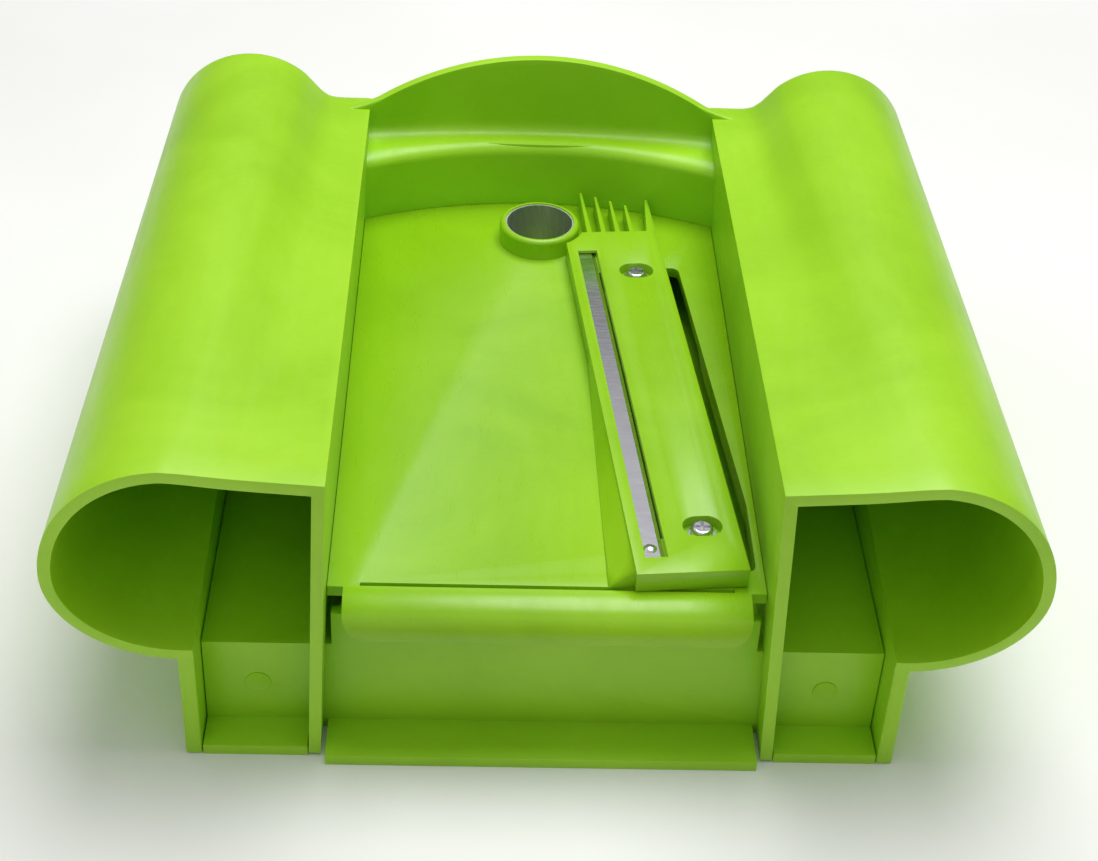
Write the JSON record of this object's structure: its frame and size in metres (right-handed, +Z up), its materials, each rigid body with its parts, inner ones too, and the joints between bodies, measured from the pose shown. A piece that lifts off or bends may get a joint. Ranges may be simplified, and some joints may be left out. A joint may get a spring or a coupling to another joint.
{
  "type": "vegetable cutter bed with adjustable blade block",
  "caption": "Moulded vegetable cutter body: two hollow lobes beside a sunken trough with arched back, ring corer, long blade and a comb-ended block that shifts on slackened screws.",
  "frame": {"origin": "centre of the bounding box at its base, on the table", "axes": "+X across the two lobes, +Y from the open front to the closed back, +Z up"},
  "size_m": [0.236, 0.204, 0.0915],
  "materials": {
    "green_body": "glossy injection-moulded lime-green plastic",
    "green_bed": "glossy injection-moulded lime-green plastic",
    "green_block": "glossy injection-moulded lime-green plastic",
    "blade_steel": "ground stainless blade steel",
    "sleeve_steel": "drawn stainless tube",
    "screw_steel": "bright plated steel"
  },
  "bodies": {
    "housing": {"body_shell": "green_body", "blade_bed": "green_bed", "base_pan": "green_body", "corer_sleeve": "sleeve_steel", "front_clamp_washer": "screw_steel", "rear_clamp_washer": "screw_steel", "front_clamp_nut": "screw_steel", "rear_clamp_nut": "screw_steel", "bed_screws": "screw_steel", "base_screws": "screw_steel"},
    "block_carriage": {"blade_block": "green_block", "slicing_blade": "blade_steel", "blade_rivet": "blade_steel"},
    "front_screw": {"front_clamp_screw": "screw_steel"},
    "rear_screw": {"rear_clamp_screw": "screw_steel"}
  },
  "joints": [
    {"name": "block_shift", "type": "slide", "parent": "housing", "child": "block_carriage", "axis": [0.996, 0.0889, 0], "range_m": [-0.0012, 0.0012]},
    {"name": "front_screw_turn", "type": "hinge", "parent": "housing", "child": "front_screw", "pos_m": [0.03808, -0.06961, 0.05], "axis": [0, 0, 1], "range_deg": [0, 180]},
    {"name": "rear_screw_turn", "type": "hinge", "parent": "housing", "child": "rear_screw", "pos_m": [0.02783, 0.04534, 0.05], "axis": [0, 0, 1], "range_deg": [0, 180]}
  ]
}
